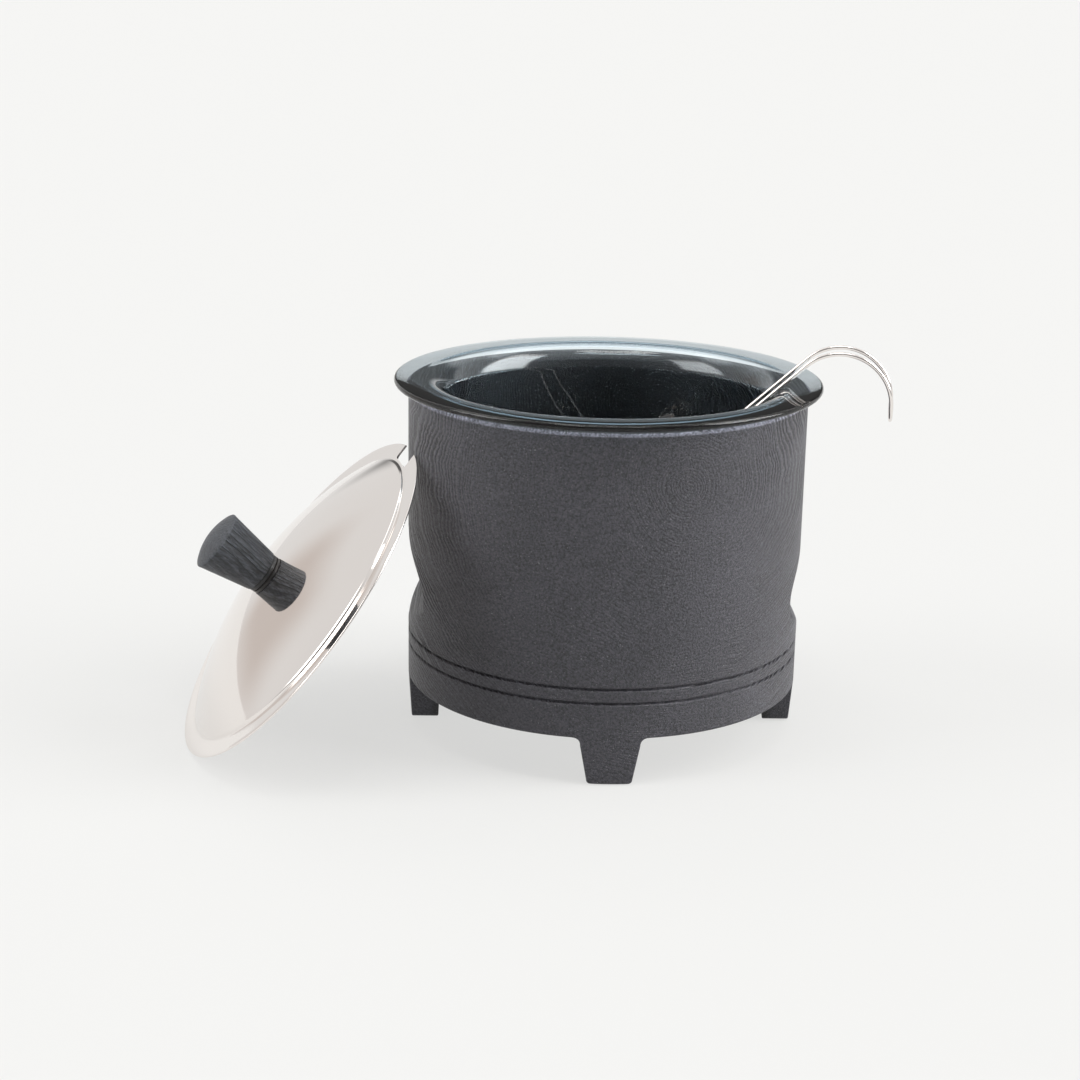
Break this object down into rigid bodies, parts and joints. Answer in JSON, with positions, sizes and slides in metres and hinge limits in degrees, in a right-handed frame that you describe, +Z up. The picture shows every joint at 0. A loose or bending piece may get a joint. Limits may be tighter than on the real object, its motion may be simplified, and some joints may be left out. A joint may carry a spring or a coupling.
{
  "type": "wax warmer pot",
  "caption": "Round dark wood warmer on feet with carved handholds, a flanged glass bowl, a wire ladle hooked over the rim and a domed steel lid with a turned wood knob.",
  "frame": {"origin": "middle of the whole set's footprint, at the level of the surface it stands on; the casing's axis is 45.2 mm to +X and 12.2 mm to +Y of it", "axes": "+Z up; +X from the leaning lid towards the ladle, square to the two handholds; -Y is the front, with one foot on that side"},
  "size_m": [0.4424, 0.2926, 0.2486],
  "materials": {
    "stained_wood": "dark stain under satin lacquer",
    "knob_wood": "dark stain, satin",
    "polished_steel": "mirror polished stainless",
    "zinc_steel": "bright zinc plate",
    "aluminium": "plain rolled",
    "brass": "bright",
    "clear_glass": "clear borosilicate, faintly blue at its edges",
    "mineral_board": "matt fibrous",
    "ceramic": "satin",
    "black_plastic": "satin",
    "rubber": "matt",
    "red_lead": "satin silicone",
    "blue_lead": "satin silicone"
  },
  "bodies": {
    "casing": {"casing": "stained_wood", "foot_pad_front": "rubber", "foot_pad_right": "rubber", "foot_pad_back": "rubber", "foot_pad_left": "rubber", "base_plate": "zinc_steel", "base_screw_1": "zinc_steel", "base_screw_2": "zinc_steel", "base_screw_3": "zinc_steel", "base_screw_4": "zinc_steel", "heat_shield": "aluminium", "insulation_disc": "mineral_board", "heating_element": "zinc_steel", "heat_plate": "aluminium", "thermostat": "ceramic", "thermal_fuse": "aluminium", "terminal_block": "ceramic", "power_inlet": "black_plastic", "inlet_pin_live": "brass", "inlet_pin_neutral": "brass", "lead_inlet_neutral": "blue_lead", "lead_inlet_live": "red_lead", "lead_element_neutral": "blue_lead", "lead_element_live": "red_lead"},
    "dial": {"control_dial": "black_plastic", "dial_spindle": "brass"},
    "bowl": {"glass_bowl": "clear_glass"},
    "ladle": {"ladle_handle": "polished_steel", "ladle_cup": "polished_steel", "ladle_clip": "polished_steel", "ladle_rivet_upper": "polished_steel", "ladle_rivet_lower": "polished_steel"},
    "lid": {"lid_pan": "polished_steel", "knob_washer": "black_plastic", "knob_grip": "knob_wood", "lid_washer": "zinc_steel", "lid_screw": "zinc_steel"}
  },
  "joints": [
    {"name": "bowl_lift", "type": "slide", "parent": "casing", "child": "bowl", "axis": [0, 0, 1], "range_m": [0, 0.16]},
    {"name": "ladle_lift", "type": "slide", "parent": "bowl", "child": "ladle", "axis": [0, 0, 1], "range_m": [0, 0.16]},
    {"name": "lid_lift", "type": "slide", "parent": "casing", "child": "lid", "axis": [-0.7071, 0, 0.7071], "range_m": [0, 0.2]},
    {"name": "dial_turn", "type": "hinge", "parent": "casing", "child": "dial", "pos_m": [0.04518, -0.03176, 0.034], "axis": [0, 0, -1], "range_deg": [0, 270]}
  ]
}
